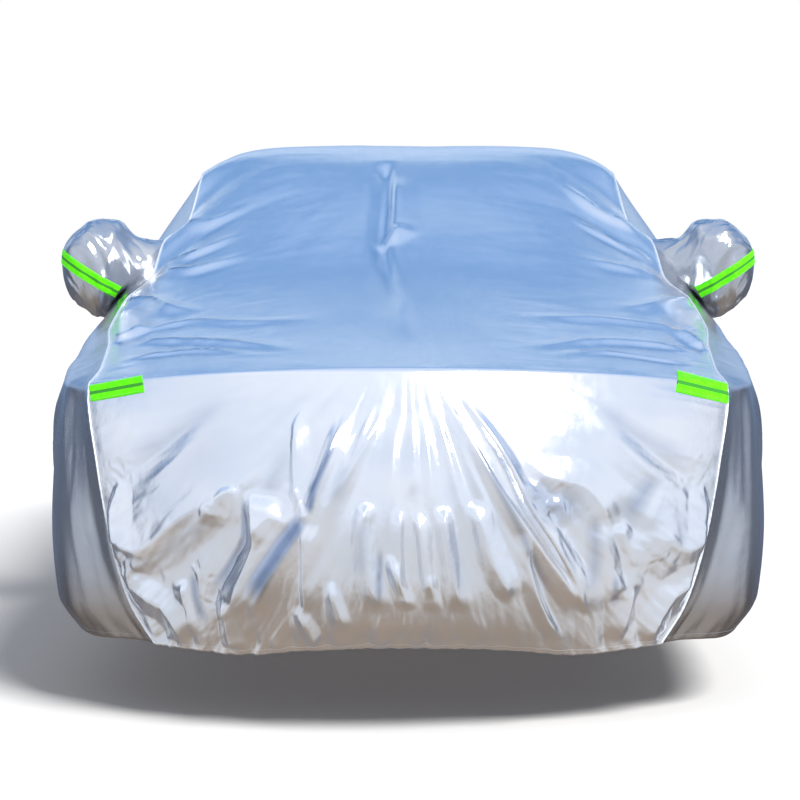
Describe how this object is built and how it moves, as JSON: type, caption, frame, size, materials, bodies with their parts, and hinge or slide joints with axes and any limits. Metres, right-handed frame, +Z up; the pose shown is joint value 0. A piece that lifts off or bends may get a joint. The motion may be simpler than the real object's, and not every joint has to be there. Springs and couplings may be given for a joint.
{
  "type": "fitted car cover",
  "caption": "Hollow fitted cloth cover for a saloon car: long centre panel, side panels, mirror pockets, welted seams and reflective strips.",
  "frame": {"origin": "the underside of the cover at the middle of its roof, where the car's roof carries it", "axes": "+Y runs from the nose to the tail, +X is to the right seen from the front, +Z is up"},
  "size_m": [2.041, 4.7364, 1.2645],
  "materials": {
    "silver_cloth": "thin cloth with a bright aluminium coating, mirror-like in its smooth places",
    "silver_welt": "bright binding rolled over the seam",
    "green_reflective": "fluorescent green reflective tape with a darker stripe along its middle"
  },
  "bodies": {
    "root": {"centre_panel": "silver_cloth", "side_panel_left": "silver_cloth", "side_panel_right": "silver_cloth", "mirror_pocket_left": "silver_cloth", "mirror_pocket_right": "silver_cloth", "seam_welt_left": "silver_welt", "seam_welt_right": "silver_welt", "front_strip_left": "green_reflective", "front_strip_right": "green_reflective", "mirror_strip_left": "green_reflective", "mirror_strip_right": "green_reflective"}
  },
  "joints": []
}
